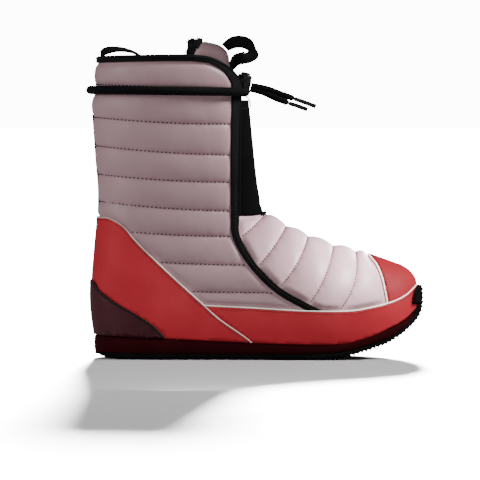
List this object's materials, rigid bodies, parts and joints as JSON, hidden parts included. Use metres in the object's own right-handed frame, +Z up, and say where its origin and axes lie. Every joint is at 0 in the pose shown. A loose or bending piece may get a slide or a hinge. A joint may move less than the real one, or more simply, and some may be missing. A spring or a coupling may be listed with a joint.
{
  "type": "apres ski boot",
  "caption": "Quilted, padded snow boot for the right foot on a rubber cupsole, with a drawcord collar, elastic gusset, tongue and pull loops.",
  "frame": {"origin": "on the floor under the middle of the heel, 40 mm ahead of the back of the heel", "axes": "+X to the toe, +Y to the inner side of the right foot, +Z up"},
  "size_m": [0.2869, 0.1108, 0.2744],
  "materials": {
    "outsole": "matt black tread rubber",
    "midsole": "matt dark maroon foam rubber",
    "insole": "black felt",
    "upper": "pale mauve pink quilted nylon with a soft sheen",
    "overlay": "coral red coated leather, semi gloss",
    "counter": "dark maroon coated leather",
    "binding": "black binding tape",
    "gusset": "black ribbed elastic",
    "fur": "short black faux fur",
    "cord": "black braided cord",
    "webbing": "black woven webbing",
    "plastic": "black plastic"
  },
  "bodies": {
    "root": {"outsole": "outsole", "midsole": "midsole", "insole": "insole", "upper": "upper", "heel_wrap": "overlay", "heel_counter": "counter", "mudguard": "overlay", "toe_cap": "overlay", "collar_piping": "binding", "back_strip": "binding", "gusset": "gusset", "tongue": "upper", "tongue_fur": "fur", "drawcord": "cord", "cord_lock": "plastic", "cord_end_upper": "cord", "cord_end_lower": "cord", "cord_tip_upper": "plastic", "cord_tip_lower": "plastic", "front_pull_loop": "webbing", "back_pull_loop": "webbing", "cord_keeper": "webbing"}
  },
  "joints": []
}
